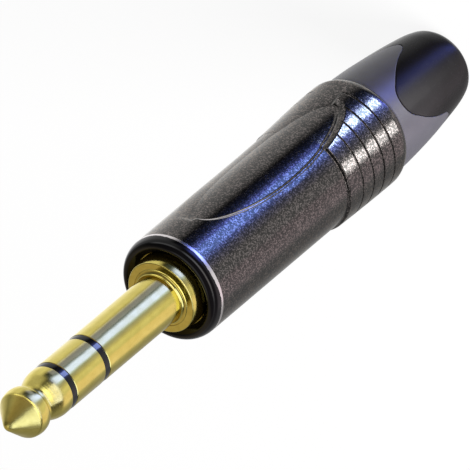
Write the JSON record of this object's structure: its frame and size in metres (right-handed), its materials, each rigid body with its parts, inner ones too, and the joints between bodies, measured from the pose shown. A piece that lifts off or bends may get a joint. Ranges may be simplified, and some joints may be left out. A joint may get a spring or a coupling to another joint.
{
  "type": "stereo jack plug",
  "caption": "Quarter inch stereo jack plug for a cable: gold contact finger, black ribbed shell and a two-tone screw boot that clamps the cable.",
  "frame": {"origin": "centre of the boot's flat rear face, on which the plug stands", "axes": "+Z along the plug's axis towards the tip, -Y through the middle of the shell's oval panel"},
  "size_m": [0.0146, 0.0146, 0.0891],
  "materials": {
    "gold_plate": "gold plated, polished, fine turning marks",
    "black_insulator": "glossy black",
    "tinned_lug": "tin plated sheet",
    "washer_board": "laminated board",
    "liner_plastic": "translucent tube",
    "shell_black": "black chrome on die-cast metal, satin with a fine sparkle",
    "chuck_plastic": "moulded plastic",
    "boot_hard": "matte grey",
    "boot_soft": "soft, matte, nearly black"
  },
  "bodies": {
    "boot": {"boot_gland": "boot_hard", "boot_cover": "boot_soft"},
    "chuck": {"chuck": "chuck_plastic"},
    "plug_body": {"tip_contact": "gold_plate", "tip_insulator": "black_insulator", "ring_contact": "gold_plate", "ring_insulator": "black_insulator", "sleeve_contact": "gold_plate", "ground_terminal": "tinned_lug", "sleeve_washer": "washer_board", "ring_terminal": "tinned_lug", "ring_washer": "washer_board", "tip_terminal": "tinned_lug", "insulating_sleeve": "liner_plastic", "shell": "shell_black"}
  },
  "joints": [
    {"name": "boot_turn", "type": "hinge", "parent": "boot", "child": "chuck", "pos_m": [0, 0, 0], "axis": [0, 0, 1], "range_deg": [0, 2520]},
    {"name": "shell_slide", "type": "slide", "parent": "chuck", "child": "plug_body", "axis": [0, 0, 1], "range_m": [0, 0.007]}
  ],
  "couplings": [
    {"joint": "boot_turn", "follows": "shell_slide", "rad_per_m": 6283.2}
  ]
}
